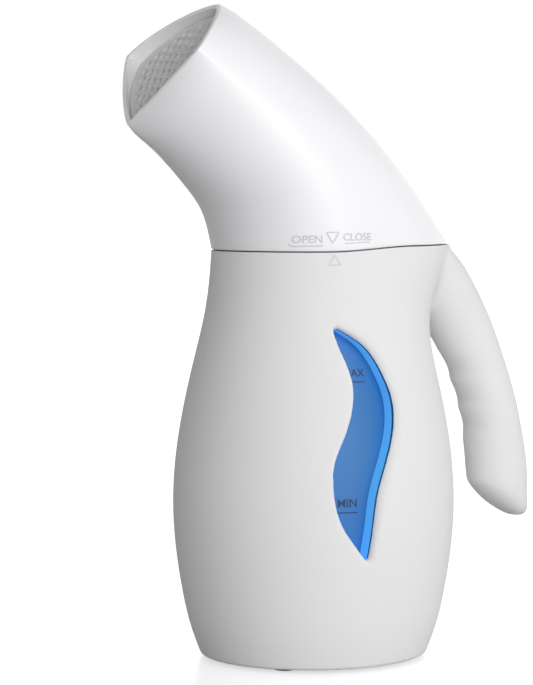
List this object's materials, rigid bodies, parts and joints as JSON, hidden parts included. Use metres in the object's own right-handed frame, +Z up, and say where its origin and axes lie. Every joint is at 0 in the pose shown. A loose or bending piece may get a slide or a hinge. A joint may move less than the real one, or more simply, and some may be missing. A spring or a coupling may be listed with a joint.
{
  "type": "garment steamer",
  "caption": "Handheld kettle-shaped garment steamer: white body with a side handle and blue water window, and a bent twist-off steam head with a recessed grille.",
  "frame": {"origin": "under the middle of the whole object's box, on the table the feet stand on", "axes": "+Z up; the nozzle points to -X and the handle stands at +X; the water window is on the -Y side"},
  "size_m": [0.1746, 0.1036, 0.25],
  "materials": {
    "shell_white": "satin-gloss moulded white",
    "plain_white": "plain moulded white",
    "grey_plastic": "moulded mid grey",
    "blue_clear": "clear blue moulding",
    "silicone": "soft translucent grey",
    "black_rubber": "dull black",
    "cast_aluminium": "as cast",
    "steel": "bright",
    "ceramic": "unglazed off-white",
    "wire_brown": "insulated wire, brown",
    "wire_blue": "insulated wire, blue"
  },
  "bodies": {
    "body": {"left_body_shell": "shell_white", "right_body_shell": "shell_white", "base_cover": "plain_white", "neck_ring": "plain_white", "steam_riser": "plain_white", "boiler_cap": "plain_white", "switch_body": "grey_plastic", "cord_gland": "grey_plastic", "water_tank": "blue_clear", "boiler_gasket": "silicone", "foot_1": "black_rubber", "foot_2": "black_rubber", "foot_3": "black_rubber", "foot_4": "black_rubber", "boiler_cup": "cast_aluminium", "heating_element": "steel", "thermal_fuse": "steel", "base_screw_1": "steel", "base_screw_2": "steel", "base_screw_3": "steel", "base_screw_4": "steel", "handle_screw_1": "steel", "handle_screw_2": "steel", "handle_screw_3": "steel", "thermostat": "ceramic", "terminal_block": "ceramic", "live_wire": "wire_brown", "neutral_wire": "wire_blue"},
    "seal": {"neck_seal": "silicone"},
    "head": {"head_shell": "shell_white", "head_lock_ring": "plain_white", "nozzle_plate": "grey_plastic", "steam_duct": "plain_white", "steam_baffle": "plain_white"},
    "button": {"power_button": "shell_white"}
  },
  "joints": [
    {"name": "head_rise", "type": "slide", "parent": "body", "child": "seal", "axis": [0, 0, 1], "range_m": [0, 0.0033], "stiffness_N_per_m": 40, "springref_m": 0.0185},
    {"name": "head_twist", "type": "hinge", "parent": "seal", "child": "head", "pos_m": [-0.00878, 0, 0.1572], "axis": [0, 0, 1], "range_deg": [-35, 0]},
    {"name": "button_press", "type": "slide", "parent": "body", "child": "button", "axis": [-0.786, 0, -0.6182], "range_m": [0, 0.0018], "stiffness_N_per_m": 400}
  ],
  "couplings": [
    {"joint": "head_rise", "follows": "head_twist", "m_per_rad": -0.005238}
  ]
}
